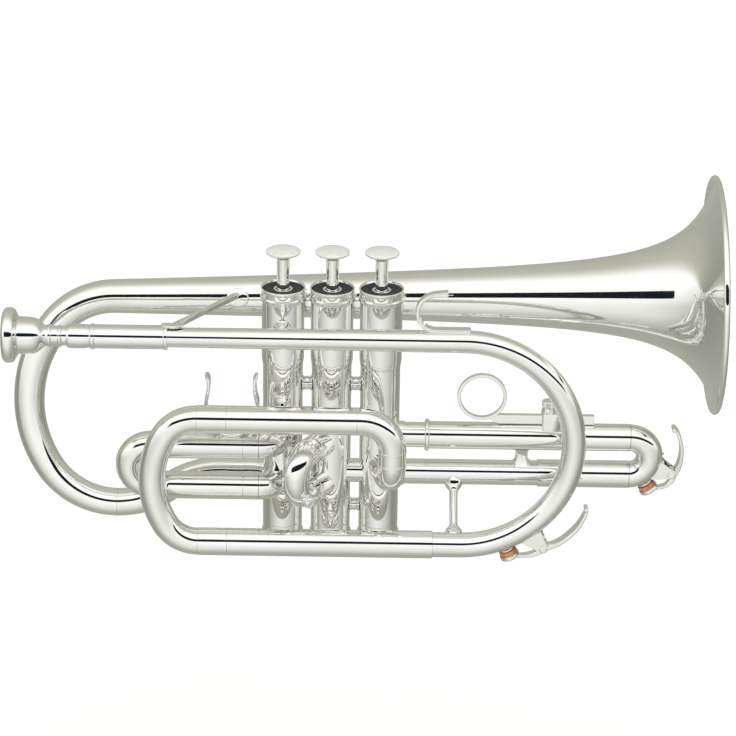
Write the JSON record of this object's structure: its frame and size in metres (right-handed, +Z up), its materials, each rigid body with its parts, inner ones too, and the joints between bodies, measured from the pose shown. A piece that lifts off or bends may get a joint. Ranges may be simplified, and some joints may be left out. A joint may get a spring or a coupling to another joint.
{
  "type": "cornet",
  "caption": "Silver-plated piston cornet with a shepherd's-crook bell, sprung valves, pull-out tuning slides, finger ring, thumb saddle and water keys.",
  "frame": {"origin": "on the middle valve's axis, half way up the casings, where the hand grips the valve block", "axes": "+X towards the bell, +Z up along the valve stems, +Y away from the mouthpipe, to the bell's side"},
  "size_m": [0.3509, 0.1303, 0.1851],
  "materials": {
    "silver": "mirror-polished silver plate on brass",
    "piston_alloy": "lapped nickel alloy",
    "spring_steel": "drawn spring wire",
    "felt": "pressed black wool felt",
    "cork": "reddish-brown pressed cork",
    "pearl": "polished mother-of-pearl inlay",
    "guide_plastic": "moulded nylon"
  },
  "bodies": {
    "horn": {"receiver": "silver", "leadpipe": "silver", "main_tubes": "silver", "inlet_elbow": "silver", "casing_1": "silver", "casing_2": "silver", "casing_3": "silver", "top_caps": "silver", "bottom_caps": "silver", "cap_felts": "felt", "valve_guides": "guide_plastic", "knuckles": "silver", "casing_ties": "silver", "third_slide_tubes": "silver", "third_slide_guide": "silver", "third_slide_brace": "silver", "first_slide_tubes": "silver", "second_slide_sleeves": "silver", "bell": "silver", "bell_bow": "silver", "bell_tail": "silver", "bell_strap_brace": "silver", "valve_posts": "silver", "finger_hook": "silver", "lead_key_seat": "silver", "lead_key_pin": "silver", "lead_key_spring": "spring_steel"},
    "valve_1": {"piston_1": "piston_alloy", "stem_1": "silver", "pearl_1": "pearl", "valve_spring_1": "spring_steel"},
    "valve_2": {"piston_2": "piston_alloy", "stem_2": "silver", "pearl_2": "pearl", "valve_spring_2": "spring_steel"},
    "valve_3": {"piston_3": "piston_alloy", "stem_3": "silver", "pearl_3": "pearl", "valve_spring_3": "spring_steel"},
    "mouthpiece_body": {"mouthpiece": "silver"},
    "main_slide": {"main_crook": "silver", "main_slide_legs": "silver"},
    "first_slide": {"first_slide_crook": "silver", "first_slide_sleeves": "silver", "thumb_saddle": "silver"},
    "second_slide": {"second_slide_crook": "silver", "second_slide_knob": "silver"},
    "third_slide": {"third_slide_crook": "silver", "third_slide_sleeves": "silver", "ring_clamp": "silver", "third_key_seat": "silver", "third_key_pin": "silver", "third_key_spring": "spring_steel"},
    "ring_rod": {"finger_ring": "silver"},
    "clamp_screw": {"thumb_screw": "silver"},
    "lead_key": {"lead_key_lever": "silver", "lead_key_cork": "cork"},
    "third_key": {"third_key_lever": "silver", "third_key_cork": "cork"}
  },
  "joints": [
    {"name": "valve_1_press", "type": "slide", "parent": "horn", "child": "valve_1", "axis": [0, 0, -1], "range_m": [0, 0.0158], "stiffness_N_per_m": 150, "springref_m": -0.02, "deforming": ["valve_spring_1"]},
    {"name": "valve_2_press", "type": "slide", "parent": "horn", "child": "valve_2", "axis": [0, 0, -1], "range_m": [0, 0.0158], "stiffness_N_per_m": 150, "springref_m": -0.02, "deforming": ["valve_spring_2"]},
    {"name": "valve_3_press", "type": "slide", "parent": "horn", "child": "valve_3", "axis": [0, 0, -1], "range_m": [0, 0.0158], "stiffness_N_per_m": 150, "springref_m": -0.02, "deforming": ["valve_spring_3"]},
    {"name": "mouthpiece_pull", "type": "slide", "parent": "horn", "child": "mouthpiece_body", "axis": [-1, 0, 0], "range_m": [0, 0.04]},
    {"name": "main_slide_pull", "type": "slide", "parent": "horn", "child": "main_slide", "axis": [-1, 0, 0], "range_m": [0, 0.025]},
    {"name": "first_slide_pull", "type": "slide", "parent": "horn", "child": "first_slide", "axis": [-1, 0, 0], "range_m": [0, 0.02]},
    {"name": "second_slide_pull", "type": "slide", "parent": "horn", "child": "second_slide", "axis": [-0.5299, -0.848, 0], "range_m": [0, 0.012]},
    {"name": "third_slide_pull", "type": "slide", "parent": "horn", "child": "third_slide", "axis": [1, 0, 0], "range_m": [0, 0.028]},
    {"name": "ring_rod_slide", "type": "slide", "parent": "third_slide", "child": "ring_rod", "axis": [1, 0, 0], "range_m": [-0.01, 0.012]},
    {"name": "clamp_screw_turn", "type": "hinge", "parent": "third_slide", "child": "clamp_screw", "pos_m": [0.1076, 0, 0.008], "axis": [0, 0, 1], "range_deg": [0, 360]},
    {"name": "lead_key_press", "type": "hinge", "parent": "horn", "child": "lead_key", "pos_m": [0.10545, -0.0305, -0.05398], "axis": [0, -1, 0], "range_deg": [0, 16], "stiffness_Nm_per_rad": 0.06, "springref_deg": -28.65},
    {"name": "third_key_press", "type": "hinge", "parent": "third_slide", "child": "third_key", "pos_m": [0.16969, 0, -0.02689], "axis": [0, -1, 0], "range_deg": [0, 16], "stiffness_Nm_per_rad": 0.06, "springref_deg": -28.65}
  ]
}
